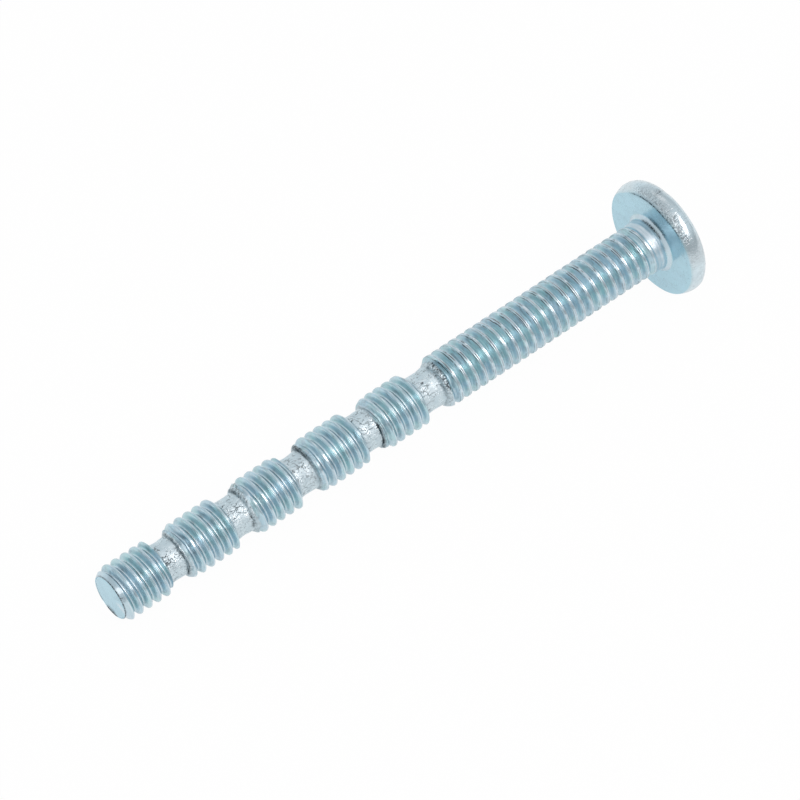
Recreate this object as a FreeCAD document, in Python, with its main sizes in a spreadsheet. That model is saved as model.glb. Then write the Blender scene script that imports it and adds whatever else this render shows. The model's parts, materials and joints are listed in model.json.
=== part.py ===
# Break-off screw for furniture handles, M4 by 45, in millimetres.
# It is one cold-headed piece. Its own X axis is the screw's axis: the bearing face under the
# head is at zero, the head lies on the plus side and the shank runs to the minus side.
# The screw lies as it comes to rest: on the rim of its head and on the crest at its tip.
# The fine thread is left to the visual model, so the shank has its crest diameter here.
import FreeCAD, Part
import math
import os
import Sketcher

NODE = "screw"

# Driving dimensions
SIZES = {
    "shank_length": 45.0,
    "main_thread_diameter": 3.78,
    "segment_diameter": 3.88,
    "tip_face_diameter": 3.12,
    "tip_chamfer_length": 0.54,
    "neck_first_distance": 19.67,
    "neck_spacing": 5.19,
    "neck_count": 5,
    "neck_waist_diameter": 2.76,
    "neck_edge_diameter": 3.02,
    "neck_bottom_width": 1.55,
    "neck_mouth_width": 2.20,
    "collar_diameter": 4.40,
    "collar_height": 0.50,
    "bearing_diameter": 8.10,
    "head_diameter": 8.60,
    "head_height": 2.35,
    "rim_height": 0.75,
    "rim_radius": 0.85,
    "recess_span": 4.40,
    "recess_width": 1.15,
    "recess_floor_span": 2.50,
    "recess_floor_width": 0.85,
    "recess_depth": 1.95,
    "recess_core_diameter": 2.40,
    "recess_core_floor_diameter": 1.90,
    "recess_point_depth": 0.35,
    "recess_wings": 4,
    "resting_turn": 4.2,
}
CUT_CLEARANCE = 0.30

V = FreeCAD.Vector
ZERO = (-1, 1)
doc = FreeCAD.newDocument("break_off_screw")


def half(name):
    return SIZES[name] / 2


def write_sizes():
    """One row for each driving dimension, with its name as the cell's alias."""
    sheet = doc.addObject("Spreadsheet::Sheet", "Sizes")
    for row, (name, value) in enumerate(SIZES.items(), start=1):
        sheet.set("A%d" % row, name)
        sheet.set("B%d" % row, str(value))
        sheet.setAlias("B%d" % row, name)
    doc.recompute()


def origin_item(body, role):
    return [item for item in body.Origin.OriginFeatures if item.Role == role][0]


def add_sketch(body, name, role):
    sketch = body.newObject("Sketcher::SketchObject", name)
    sketch.AttachmentSupport = [(origin_item(body, role), "")]
    sketch.MapMode = "FlatFace"
    return sketch


def add_line(sketch, start, end):
    """A line as its number, its start's point and its end's point."""
    return sketch.addGeometry(Part.LineSegment(V(*start, 0), V(*end, 0)), False), 1, 2


def add_clockwise_arc(sketch, start, middle, end):
    """An arc as its number, its start's point and its end's point: a sketch counts them the other way round."""
    arc = Part.ArcOfCircle(V(*end, 0), V(*middle, 0), V(*start, 0))
    return sketch.addGeometry(arc, False), 2, 1


def start_of(item):
    return item[0], item[1]


def end_of(item):
    return item[0], item[2]


def close_loop(sketch, items, smooth=()):
    """Each item's end meets the next one's start, without a corner where the next one is named smooth."""
    for first, second in zip(items, items[1:] + items[:1]):
        kind = "Tangent" if second in smooth else "Coincident"
        sketch.addConstraint(Sketcher.Constraint(kind, *end_of(first), *start_of(second)))


def keep(sketch, kind, *where):
    sketch.addConstraint(Sketcher.Constraint(kind, *where))


def bind(sketch, kind, where, value, expression):
    """A dimension of the sketch that follows the sheet."""
    index = sketch.addConstraint(Sketcher.Constraint(kind, *where, value))
    sketch.setExpression("Constraints[%d]" % index, expression)


def at_radius(sketch, point, value, expression):
    bind(sketch, "DistanceY", ZERO + point, value, expression)


def at_minus(sketch, point, value, expression):
    bind(sketch, "DistanceX", point + ZERO, value, expression)


def at_plus(sketch, point, value, expression):
    bind(sketch, "DistanceX", ZERO + point, value, expression)


def finish(feature):
    doc.recompute()
    bad = [state for state in feature.State if state in ("Invalid", "Error")]
    if bad or feature.Shape.isNull() or not feature.Shape.isValid():
        raise RuntimeError(feature.Name + " could not be built")
    return feature


def finish_cut(feature, before):
    finish(feature)
    if feature.Shape.Volume > before.Volume - 0.01:
        raise RuntimeError(feature.Name + " cuts nothing away")
    return feature


def crown_arc():
    """First and middle point of the crown, an arc about the axis that runs on from the rim's rounding."""
    across = half("head_diameter") - SIZES["rim_radius"]
    reach = SIZES["head_height"] - SIZES["rim_radius"]
    along = SIZES["rim_height"]
    centre = (reach ** 2 - along ** 2 - across ** 2) / (2 * (reach - along))
    radius = SIZES["head_height"] - centre
    angle = math.atan2(across, along - centre)
    points = [(centre + radius * math.cos(part), radius * math.sin(part)) for part in (angle, angle / 2)]
    return points[0], points[1]


def rounding_middle(centre, radius, end):
    """Middle point of an arc that begins straight above its centre and ends at a given point."""
    angle = math.atan2(end[0] - centre[0], end[1] - centre[1]) / 2
    return centre[0] + radius * math.sin(angle), centre[1] + radius * math.cos(angle)


def draw_blank(body):
    """Half section of the headed blank, from the tip's face round to the crown and back on the axis."""
    sketch = add_sketch(body, "blank_section", "XZ_Plane")
    tip = -SIZES["shank_length"]
    chamfer_end = tip + SIZES["tip_chamfer_length"]
    step = -SIZES["neck_first_distance"]
    cone_start = -SIZES["collar_height"]
    rim_x, head = SIZES["rim_height"], half("head_diameter")
    crown, crown_middle = crown_arc()
    rise = head - half("bearing_diameter")
    lip_radius = (rim_x ** 2 + rise ** 2) / (2 * rise)
    lip_middle = rounding_middle((rim_x, head - lip_radius), lip_radius, (0, half("bearing_diameter")))
    rim_middle = rounding_middle((rim_x, head - SIZES["rim_radius"]), SIZES["rim_radius"], crown)

    face = add_line(sketch, (tip, 0), (tip, half("tip_face_diameter")))
    chamfer = add_line(sketch, (tip, half("tip_face_diameter")), (chamfer_end, half("segment_diameter")))
    segments = add_line(sketch, (chamfer_end, half("segment_diameter")), (step, half("segment_diameter")))
    shoulder = add_line(sketch, (step, half("segment_diameter")), (step, half("main_thread_diameter")))
    main = add_line(sketch, (step, half("main_thread_diameter")), (cone_start, half("main_thread_diameter")))
    collar = add_line(sketch, (cone_start, half("main_thread_diameter")), (0, half("collar_diameter")))
    seat = add_line(sketch, (0, half("collar_diameter")), (0, half("bearing_diameter")))
    lip = add_clockwise_arc(sketch, (0, half("bearing_diameter")), lip_middle, (rim_x, head))
    rim = add_clockwise_arc(sketch, (rim_x, head), rim_middle, crown)
    dome = add_clockwise_arc(sketch, crown, crown_middle, (SIZES["head_height"], 0))
    axis = add_line(sketch, (SIZES["head_height"], 0), (tip, 0))
    outline = [face, chamfer, segments, shoulder, main, collar, seat, lip, rim, dome, axis]
    close_loop(sketch, outline, smooth=[dome])

    keep(sketch, "PointOnObject", *start_of(axis), -1)
    keep(sketch, "PointOnObject", *end_of(axis), -1)
    for item in (face, shoulder, seat):
        keep(sketch, "Vertical", item[0])
    for item in (segments, main):
        keep(sketch, "Horizontal", item[0])
    keep(sketch, "PointOnObject", *start_of(seat), -2)
    keep(sketch, "Vertical", lip[0], 3, *end_of(lip))
    keep(sketch, "Vertical", rim[0], 3, *start_of(rim))
    keep(sketch, "PointOnObject", dome[0], 3, -1)

    at_minus(sketch, start_of(face), -tip, "Sizes.shank_length")
    at_minus(sketch, end_of(chamfer), -chamfer_end, "Sizes.shank_length - Sizes.tip_chamfer_length")
    at_minus(sketch, start_of(shoulder), -step, "Sizes.neck_first_distance")
    at_minus(sketch, start_of(collar), -cone_start, "Sizes.collar_height")
    at_plus(sketch, end_of(lip), rim_x, "Sizes.rim_height")
    at_plus(sketch, end_of(dome), SIZES["head_height"], "Sizes.head_height")
    at_radius(sketch, end_of(face), half("tip_face_diameter"), "Sizes.tip_face_diameter / 2")
    at_radius(sketch, start_of(segments), half("segment_diameter"), "Sizes.segment_diameter / 2")
    at_radius(sketch, start_of(main), half("main_thread_diameter"), "Sizes.main_thread_diameter / 2")
    at_radius(sketch, start_of(seat), half("collar_diameter"), "Sizes.collar_diameter / 2")
    at_radius(sketch, end_of(seat), half("bearing_diameter"), "Sizes.bearing_diameter / 2")
    at_radius(sketch, end_of(lip), head, "Sizes.head_diameter / 2")
    bind(sketch, "Radius", (rim[0],), SIZES["rim_radius"], "Sizes.rim_radius")
    return sketch


def draw_neck(body):
    """Half section of the first break-off neck: a hollow waist with slanting ends."""
    sketch = add_sketch(body, "neck_section", "XZ_Plane")
    middle = -SIZES["neck_first_distance"]
    bottom, mouth = half("neck_bottom_width"), half("neck_mouth_width")
    waist, edge = half("neck_waist_diameter"), half("neck_edge_diameter")
    crest = half("segment_diameter")
    outside = crest + CUT_CLEARANCE
    spread = mouth + (mouth - bottom) * CUT_CLEARANCE / (crest - edge)
    left_wall = add_line(sketch, (middle - spread, outside), (middle - bottom, edge))
    sag = Part.ArcOfCircle(V(middle - bottom, edge, 0), V(middle, waist, 0), V(middle + bottom, edge, 0))
    floor = sketch.addGeometry(sag, False), 1, 2
    right_wall = add_line(sketch, (middle + bottom, edge), (middle + spread, outside))
    top = add_line(sketch, (middle + spread, outside), (middle - spread, outside))
    close_loop(sketch, [left_wall, floor, right_wall, top])

    place = "Sizes.neck_first_distance"
    spread_words = (
        "(Sizes.neck_mouth_width / 2 + (Sizes.neck_mouth_width - Sizes.neck_bottom_width)"
        " * %s / (Sizes.segment_diameter - Sizes.neck_edge_diameter))" % CUT_CLEARANCE
    )
    sag_words = (
        "(Sizes.neck_bottom_width ^ 2 / 4 + (Sizes.neck_edge_diameter - Sizes.neck_waist_diameter) ^ 2 / 4)"
        " / (Sizes.neck_edge_diameter - Sizes.neck_waist_diameter)"
    )
    sink = edge - waist
    keep(sketch, "Horizontal", top[0])
    keep(sketch, "Horizontal", *start_of(floor), *end_of(floor))
    at_minus(sketch, start_of(left_wall), spread - middle, place + " + " + spread_words)
    at_minus(sketch, end_of(right_wall), -middle - spread, place + " - " + spread_words)
    at_minus(sketch, start_of(floor), bottom - middle, place + " + Sizes.neck_bottom_width / 2")
    at_minus(sketch, end_of(floor), -middle - bottom, place + " - Sizes.neck_bottom_width / 2")
    at_radius(sketch, end_of(right_wall), outside, "Sizes.segment_diameter / 2 + %s" % CUT_CLEARANCE)
    at_radius(sketch, start_of(floor), edge, "Sizes.neck_edge_diameter / 2")
    bind(sketch, "Radius", (floor[0],), (bottom ** 2 + sink ** 2) / (2 * sink), sag_words)
    return sketch


def draw_wing_end(body, name, place, place_words, span_words, width_words, span, width):
    """Cross-section of one wing of the recess, from the axis outwards, in a plane across the screw."""
    sketch = add_sketch(body, name, "YZ_Plane")
    sketch.AttachmentOffset = FreeCAD.Placement(V(0, 0, place), FreeCAD.Rotation())
    sketch.setExpression(".AttachmentOffset.Base.z", place_words)
    low = add_line(sketch, (0, -width / 2), (span / 2, -width / 2))
    end = add_line(sketch, (span / 2, -width / 2), (span / 2, width / 2))
    high = add_line(sketch, (span / 2, width / 2), (0, width / 2))
    inner = add_line(sketch, (0, width / 2), (0, -width / 2))
    close_loop(sketch, [low, end, high, inner])
    keep(sketch, "Horizontal", low[0])
    keep(sketch, "Horizontal", high[0])
    keep(sketch, "Vertical", end[0])
    keep(sketch, "PointOnObject", *start_of(low), -2)
    keep(sketch, "Symmetric", *end_of(high), *start_of(low), *ZERO)
    at_plus(sketch, end_of(low), span / 2, span_words)
    bind(sketch, "DistanceY", end_of(low) + end_of(end), width, width_words)
    return sketch


def draw_core(body):
    """Half section of the recess between its wings, with the blunt point that the driver leaves."""
    sketch = add_sketch(body, "recess_core_section", "XZ_Plane")
    top = SIZES["head_height"] + CUT_CLEARANCE
    floor = SIZES["head_height"] - SIZES["recess_depth"]
    point = floor - SIZES["recess_point_depth"]
    mouth, bottom = half("recess_core_diameter"), half("recess_core_floor_diameter")
    cone = add_line(sketch, (point, 0), (floor, bottom))
    wall = add_line(sketch, (floor, bottom), (top, mouth))
    lid = add_line(sketch, (top, mouth), (top, 0))
    axis = add_line(sketch, (top, 0), (point, 0))
    close_loop(sketch, [cone, wall, lid, axis])
    keep(sketch, "Vertical", lid[0])
    keep(sketch, "PointOnObject", *start_of(axis), -1)
    keep(sketch, "PointOnObject", *end_of(axis), -1)
    floor_words = "Sizes.head_height - Sizes.recess_depth"
    at_plus(sketch, start_of(lid), top, "Sizes.head_height + %s" % CUT_CLEARANCE)
    at_plus(sketch, start_of(wall), floor, floor_words)
    at_plus(sketch, start_of(cone), point, floor_words + " - Sizes.recess_point_depth")
    at_radius(sketch, start_of(lid), mouth, "Sizes.recess_core_diameter / 2")
    at_radius(sketch, start_of(wall), bottom, "Sizes.recess_core_floor_diameter / 2")
    return sketch


def revolve(body, kind, name, section):
    feature = body.newObject(kind, name)
    feature.Profile = section
    feature.ReferenceAxis = (origin_item(body, "X_Axis"), [""])
    feature.Angle = 360
    return feature


def cut_necks(body, blank):
    """The first neck nearest the head, repeated towards the tip."""
    neck = finish_cut(revolve(body, "PartDesign::Groove", "neck", draw_neck(body)), blank.Shape)
    row = body.newObject("PartDesign::LinearPattern", "necks")
    row.Originals = [neck]
    row.Direction = (origin_item(body, "X_Axis"), [""])
    row.Reversed = True
    row.Length = SIZES["neck_spacing"] * (SIZES["neck_count"] - 1)
    row.setExpression("Length", "Sizes.neck_spacing * (Sizes.neck_count - 1) * 1 mm")
    row.Occurrences = SIZES["neck_count"]
    row.setExpression("Occurrences", "Sizes.neck_count")
    body.Tip = row
    return finish_cut(row, neck.Shape)


def cut_recess(body, necked):
    """The cross recess in the crown: a core, then one wing turned about the axis."""
    core = finish_cut(revolve(body, "PartDesign::Groove", "recess_core", draw_core(body)), necked.Shape)
    floor = SIZES["head_height"] - SIZES["recess_depth"]
    mouth = draw_wing_end(
        body, "wing_mouth", SIZES["head_height"], "Sizes.head_height",
        "Sizes.recess_span / 2", "Sizes.recess_width", SIZES["recess_span"], SIZES["recess_width"],
    )
    bottom = draw_wing_end(
        body, "wing_floor", floor, "Sizes.head_height - Sizes.recess_depth",
        "Sizes.recess_floor_span / 2", "Sizes.recess_floor_width",
        SIZES["recess_floor_span"], SIZES["recess_floor_width"],
    )
    doc.recompute()
    wing = body.newObject("PartDesign::SubtractiveLoft", "wing")
    wing.Profile = mouth
    wing.Sections = [bottom]
    wing.Ruled = True
    finish_cut(wing, core.Shape)
    wings = body.newObject("PartDesign::PolarPattern", "wings")
    wings.Originals = [wing]
    wings.Axis = (origin_item(body, "X_Axis"), [""])
    wings.Angle = 360
    wings.Occurrences = SIZES["recess_wings"]
    wings.setExpression("Occurrences", "Sizes.recess_wings")
    body.Tip = wings
    return finish_cut(wings, wing.Shape)


def lay_down(body):
    """The axis sinks towards the tip until the head's rim and the tip's crest stand on one plane."""
    drop = "(Sizes.head_diameter - Sizes.segment_diameter) / 2"
    run = "(Sizes.rim_height + Sizes.shank_length - Sizes.tip_chamfer_length)"
    tilt = "atan(%s / %s)" % (drop, run)
    middle = "(Sizes.shank_length - Sizes.head_height) / 2 * cos(%s)" % tilt
    corner = "Sizes.tip_face_diameter / 4 * sin(%s)" % tilt
    height = "Sizes.head_diameter / 2 * cos(%s) - Sizes.rim_height * sin(%s)" % (tilt, tilt)
    place = "vector(%s + %s; 0; %s)" % (middle, corner, height)
    lean = "rotation(vector(0; -1; 0); %s)" % tilt
    turn = "rotation(vector(1; 0; 0); Sizes.resting_turn)"
    body.setExpression("Placement", "placement(%s; %s * %s)" % (place, lean, turn))
    doc.recompute()


def write_step(body):
    for item in doc.Objects:
        if any(state in ("Invalid", "Error") for state in item.State):
            raise RuntimeError(item.Name + " is not in order")
    if len(body.Shape.Solids) != 1:
        raise RuntimeError("the screw is not one solid")
    os.makedirs("parts", exist_ok=True)
    body.Shape.exportStep("parts/%s.step" % NODE)


def main():
    write_sizes()
    body = doc.addObject("PartDesign::Body", "Screw")
    body.Label = NODE
    blank = finish(revolve(body, "PartDesign::Revolution", "blank", draw_blank(body)))
    necked = cut_necks(body, blank)
    finish(cut_recess(body, necked))
    lay_down(body)
    write_step(body)
    box = body.Shape.BoundBox
    print("solid", body.Shape.isValid(), "volume", body.Shape.Volume)
    print("x", box.XMin, box.XMax, "y", box.YMin, box.YMax, "z", box.ZMin, box.ZMax)
    print("placement", body.Placement)


main()
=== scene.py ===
import json
import math
from collections import namedtuple

import bmesh
import bpy
import numpy as np
from bpy.props import FloatProperty, FloatVectorProperty, IntProperty, PointerProperty
from mathutils import Matrix, Vector, noise


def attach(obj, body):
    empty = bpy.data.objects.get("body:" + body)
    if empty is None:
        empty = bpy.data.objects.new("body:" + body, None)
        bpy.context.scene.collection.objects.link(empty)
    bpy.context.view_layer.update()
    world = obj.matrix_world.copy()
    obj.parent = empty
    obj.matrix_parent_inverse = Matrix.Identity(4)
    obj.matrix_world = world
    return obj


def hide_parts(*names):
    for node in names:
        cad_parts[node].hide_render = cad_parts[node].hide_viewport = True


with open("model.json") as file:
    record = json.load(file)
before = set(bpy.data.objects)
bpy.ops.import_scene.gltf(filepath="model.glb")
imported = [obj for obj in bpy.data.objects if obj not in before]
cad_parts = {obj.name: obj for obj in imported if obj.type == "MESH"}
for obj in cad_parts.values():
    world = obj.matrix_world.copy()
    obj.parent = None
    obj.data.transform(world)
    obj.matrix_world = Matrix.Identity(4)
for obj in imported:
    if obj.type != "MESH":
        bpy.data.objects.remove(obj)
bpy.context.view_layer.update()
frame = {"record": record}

bl_info = {
    "name": "Break-off handle screw",
    "version": (1, 0, 0),
    "blender": (4, 5, 0),
    "location": "View3D > Sidebar > Screw",
    "description": "Builds a zinc-plated break-off screw with its rolled thread, necks and pan head",
    "category": "Add Mesh",
}

MM = 0.001
TURN = 2 * math.pi

# Sizes in millimetres. Distances are taken from the bearing face towards the tip.
COLLAR_RADIUS = 2.20
BEARING_RADIUS = 4.05
RIM_BULGE = 0.25
RIM_HEIGHT = 0.75
RIM_CURVE = 0.85
CROWN_HEIGHT = 2.35
THREAD_START = 0.50
TIP_PLACE = 44.84
TIP_RADIUS = 1.56

# The tip's face was cut a little aslant: how far its edge strays from its middle, at which angle
# round the screw it is nearest to the head, and where its chamfer starts and how it slopes.
TIP_SLANT = 0.10
TIP_NEAR = math.radians(32.7)
CHAMFER_START = 44.40
CHAMFER_SLOPE = 0.71

# The collar's hollow curve, as distance from the bearing face and radius.
COLLAR_CURVE = (
    (0.00, COLLAR_RADIUS), (0.05, 2.15), (0.11, 2.08), (0.17, 1.99), (0.22, 1.935), (0.28, 1.92),
    (0.38, 1.925),
)

# Length of the necks' shoulders, and radius and length of their far walls' rounded edge.
SHOULDER_LENGTH = 0.62
WALL_RADIUS = 1.72
WALL_EDGE = 0.16

# The recess's bars, as height over the bearing face, half length and half width, and its core, as
# height and radius, with the heights of the core's two points.
BAR_LEVELS = ((0.40, 1.25, 0.425), (2.20, 2.09, 0.555), (2.33, 2.17, 0.60), (2.75, 2.45, 0.80))
CORE_LEVELS = ((0.40, 0.95), (2.75, 1.235))
CORE_FLOOR = 0.05
CORE_TOP = 2.75

# Angles round the screw of the rim's dent and of its raised corner.
RIM_DENT = math.radians(-4.5)
RIM_CORNER = math.radians(108.7)

# Rows of the thread nearer to its ends than this are left out, points of the collar closer together
# than the weld, in metres, become one, and edges bent more than the sharp angle stay sharp.
ROW_GAP = 0.004
WELD = 2e-7
SHARP_ANGLE = math.radians(48)

# The place on the axis that the camera is set by, and where it stands in the picture, right and up.
AIM_PLACE = 25
AIM_RIGHT = -2.635
AIM_UP = -2.198

FLOOR_REACH = 3.0
WHITE = (1.0, 1.0, 1.0, 1.0)
LAMP_COLOUR = (1.0, 0.81, 0.75)

# One row of the thread's section: how far from the crest's middle, as a share of the pitch,
# then how deep it lies on the main thread and on the break-off segments, as a share of the depth.
THREAD_SECTION = (
    (0.000, 0.040, 0.050),
    (0.045, 0.025, 0.000),
    (0.085, 0.005, 0.010),
    (0.120, 0.000, 0.050),
    (0.165, 0.055, 0.155),
    (0.250, 0.340, 0.435),
    (0.330, 0.635, 0.715),
    (0.410, 0.910, 0.950),
    (0.500, 1.000, 1.000),
)

# Each break-off neck from the head to the tip: where the thread ends, where the fold under its edge
# lies, where the far wall stands, the radius of the shoulder between thread and fold, how ragged the
# fold is, how dark the metal and the painted shade in it are, between which angles it is sharpest, and how
# deep it is there.
Neck = namedtuple("Neck", "thread_end fold wall shoulder ragged dirt dark deep")
NECKS = (
    Neck(18.60, 18.87, 20.56, 1.70, 0.090, 0.70, (-20, 80), 0.3),
    Neck(23.98, 24.13, 25.48, 1.68, 0.045, 0.95, (40, 125), 1.0),
    Neck(29.22, 29.34, 30.86, 1.74, 0.035, 0.90, (-60, 20), 0.9),
    Neck(34.34, 34.52, 35.97, 1.64, 0.080, 0.75, (-60, -10), 0.9),
    Neck(39.62, 39.77, 41.12, 1.66, 0.060, 0.85, (-30, 110), 0.7),
)

# Dark nicks and torn spots, and one painted shadow line on the tip's chamfer: distance from the bearing face
# in millimetres, angle round the screw in degrees, half length along the screw in millimetres, half width in
# degrees and darkness.
NICKS_AND_SHADOWS = (
    (18.62, 20.0, 0.22, 48.0, 0.95),
    (20.38, 96.0, 0.20, 12.0, 0.85),
    (24.16, 92.0, 0.13, 12.0, 0.80),
    (25.34, 96.0, 0.14, 12.0, 0.80),
    (30.62, 96.0, 0.12, 9.0, 0.75),
    (34.22, -38.0, 0.22, 20.0, 0.70),
    (34.60, 72.0, 0.12, 24.0, 0.90),
    (40.80, 100.0, 0.30, 6.0, 0.50),
    # Painted shadow line under the chamfer's highlight.
    (44.64, 48.0, 0.12, 9.0, 0.55),
    (-0.15, 32.0, 0.09, 19.0, 0.95),
    (-0.32, 42.0, 0.14, 9.0, 0.85),
    (-0.48, 27.0, 0.20, 3.0, 0.75),
    (-0.85, -4.5, 0.30, 2.5, 0.75),
    (-0.25, -5.0, 0.20, 26.0, 0.45),
)


def length_setting(name, description, millimetres):
    """A length, given in millimetres and kept in metres."""
    return FloatProperty(
        name=name, description=description, default=millimetres * MM, unit="LENGTH", precision=5)


def angle_setting(name, description, degrees):
    """An angle, given in degrees and kept in radians."""
    return FloatProperty(name=name, description=description, default=math.radians(degrees), subtype="ANGLE")


def colour_setting(name, description, *colour):
    return FloatVectorProperty(
        name=name, description=description, default=colour, subtype="COLOR", size=3, min=0, max=1)


def share_setting(name, description, share):
    return FloatProperty(name=name, description=description, default=share, min=0, max=1, subtype="FACTOR")


def brightness_setting(name, description, brightness):
    return FloatProperty(name=name, description=description, default=brightness, min=0, max=20)


class ScrewSizes(bpy.types.PropertyGroup):
    """Sizes of the screw that its visual model adds to the solid."""
    pitch: length_setting("Pitch", "Advance of the thread in one turn", 0.6986)
    thread_depth: length_setting("Thread depth", "Height of the crest over the root", 0.36)
    crest_place: length_setting(
        "Crest place", "Distance of a crest from the bearing face, on the screw's upper side", 0.592)
    main_radius: length_setting(
        "Main thread radius", "Crest radius between the head and the first neck", 1.88)
    segment_radius: length_setting("Segment radius", "Crest radius of the break-off segments", 1.93)
    waist_radius: length_setting("Waist radius", "Radius of the necks at their thinnest", 1.38)
    columns: IntProperty(
        name="Columns", description="Points in one turn of the thread", default=72, min=24, max=96)
    recess_turn: angle_setting("Recess turn", "Turn of the cross recess about the screw", 4.2)


class ZincFinish(bpy.types.PropertyGroup):
    """Colours and roughness of the plating."""
    plate: colour_setting("Plate", "Bluish zinc of the thread and the underside", 0.485, 0.660, 0.748)
    greenish: colour_setting("Greenish plate", "Greenish shimmer of the plating", 0.468, 0.678, 0.722)
    flat: colour_setting("Flat faces", "Blue of the bearing face and the tip's face", 0.450, 0.685, 0.790)
    stain: colour_setting("Stain", "Grey spots on the smooth plating", 0.42, 0.50, 0.55)
    crest: colour_setting("Crest", "Pale crests of the thread", 0.685, 0.78, 0.84)
    skin: colour_setting("Rough skin", "Silvery skin of the necks and the rim", 0.665, 0.785, 0.835)
    fibre: colour_setting("Fibres", "Grey lines drawn along the rough skin", 0.44, 0.53, 0.58)
    # Also the colour of the painted shade on the rim's two darker arcs.
    wear_and_shade: colour_setting("Worn skin", "Greyer patches of the head's rim", 0.535, 0.590, 0.620)
    dull: colour_setting("Dull spots", "Duller metal between the grain", 0.42, 0.52, 0.58)
    # Also the colour of the painted shade in the folds, the segments' roots, the laps' camera-facing arcs and
    # the head's and tip's edge lines.
    dirt: colour_setting("Fold", "Dark metal in folds and cracks", 0.045, 0.062, 0.075)
    roughness: share_setting("Plate roughness", "Roughness of the smooth plating", 0.19)


class StudioSettings(bpy.types.PropertyGroup):
    """Camera and light."""
    lens: FloatProperty(
        name="Lens", description="Focal length on a 36 mm sensor", default=143.6, min=20, max=400)
    lean: angle_setting("Lean", "How far the screw's tip leans towards the camera", 20.4)
    slant: angle_setting("Slant", "Slant of the screw in the picture", 33.26)
    camera_height: angle_setting("Camera height", "Camera's angle over the floor", 51.1)
    distance: length_setting("Distance", "Camera's distance from the screw", 207)
    room: brightness_setting("Room", "Brightness of the room", 0.98)
    overhead: share_setting("Overhead", "Share of that brightness overhead", 0.70)
    dark_front: share_setting("Dark front", "How much darker the room is low in front", 0.17)
    glow: share_setting("Glow", "How much brighter the room is around the strip light", 0.24)
    strip: brightness_setting("Strip light", "Brightness of the strip", 4.8)
    tip_light: brightness_setting("Tip light", "Brightness of the low light on the tip's side", 1.2)
    top: brightness_setting("Top box", "Brightness of the top box", 0.35)
    lamp_distance: length_setting("Lamp distance", "From the screw to the lamps", 600)


class Screw:
    """The screw's axis and its sizes in millimetres: distances run from its bearing face to the tip."""

    def __init__(self, sizes):
        mounts = {mount["name"]: mount for mount in frame["record"]["mounts"]}
        seat = mounts["bearing_face"]
        self.seat = np.array([seat["pos_m"][0], 0.0, seat["pos_m"][2]])
        self.to_head = -np.array(seat["axis"])
        self.to_head /= np.linalg.norm(self.to_head)
        self.side = np.array([0.0, -1.0, 0.0])
        self.up = np.cross(self.side, self.to_head)
        self.pitch = sizes.pitch / MM
        self.thread_depth = sizes.thread_depth / MM
        self.crest_place = sizes.crest_place / MM
        self.main_radius = sizes.main_radius / MM
        self.segment_radius = sizes.segment_radius / MM
        self.waist_radius = sizes.waist_radius / MM
        self.columns = sizes.columns
        self.recess_turn = sizes.recess_turn

    def point(self, distance, radius, angle):
        """Points of the row frame, in metres, from distance, radius and angle."""
        distance, radius, angle = np.broadcast_arrays(distance, radius, angle)
        across = np.cos(angle)[..., None] * self.up + np.sin(angle)[..., None] * self.side
        return self.seat + MM * (radius[..., None] * across - distance[..., None] * self.to_head)

    def read(self, points):
        """Distance, radius and angle of points."""
        away = (points - self.seat) / MM
        rise, sideways = away @ self.up, away @ self.side
        return -(away @ self.to_head), np.hypot(rise, sideways), np.arctan2(sideways, rise) % TURN


def smooth_step(low, high, value):
    """0 below the first value, 1 above the second and soft between them."""
    share = np.clip((value - low) / (high - low), 0, 1)
    return share * share * (3 - 2 * share)


def fade(low, high, value):
    """1 below the first value and 0 above the second."""
    return 1 - smooth_step(low, high, value)


def lumps(points, size, seed):
    """Smooth unevenness from -1 to 1 at points in metres, with bumps of about a size in millimetres."""
    shift = Vector((seed * 3.17, seed * 1.31, seed * 2.23))
    flat = points.reshape(-1, 3) / (size * MM)
    return np.array([noise.noise(Vector(p) + shift) for p in flat]).reshape(points.shape[:-1])


def fold_line(screw, neck, angle):
    """Distance of a neck's fold from the bearing face, ragged round the screw."""
    place = neck.fold
    ring = screw.point(place, 1.5, angle)
    wander = lumps(ring, 0.9, place) * 0.8 + lumps(ring, 0.28, place + 5)
    wander = wander + lumps(ring, 0.13, place + 6) * 0.6
    return place + neck.ragged * wander


def thread_end(screw, neck, angle):
    """Distance at which the thread gives way to a neck's shoulder."""
    return fold_line(screw, neck, angle) - neck.fold + neck.thread_end


def arc_share(angle, middle, half_width):
    """1 on an arc of the turn, given by its middle and half width in degrees, and 0 away from it."""
    away = np.abs((np.degrees(angle) - middle + 180) % 360 - 180)
    return fade(half_width * 0.7, half_width * 1.2, away)


def fold_depth(screw, neck, angle):
    """How sharp a neck's fold is round the screw: at 0 its shoulder runs gently into the waist."""
    first, last = neck.dark
    arc = arc_share(angle, (first + last) / 2, (last - first) / 2 + 10)
    ring = screw.point(neck.fold, 1.6, angle)
    uneven = smooth_step(-0.3, 0.3, lumps(ring, 0.5, neck.wall + 4))
    return neck.deep * arc * (0.5 + 0.5 * uneven) + 0.15 * uneven * (1 - arc)


def crest_share(screw, distance, angle):
    """How far towards the tip each point lies from the nearest crest's middle, as a share of the pitch."""
    turns = (distance - screw.crest_place) / screw.pitch + angle / TURN
    return turns - np.round(turns)


def tip_face(angle):
    """Distance of the tip's slanting face from the bearing face, at its edge."""
    return TIP_PLACE - TIP_SLANT * np.cos(angle - TIP_NEAR)


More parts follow.
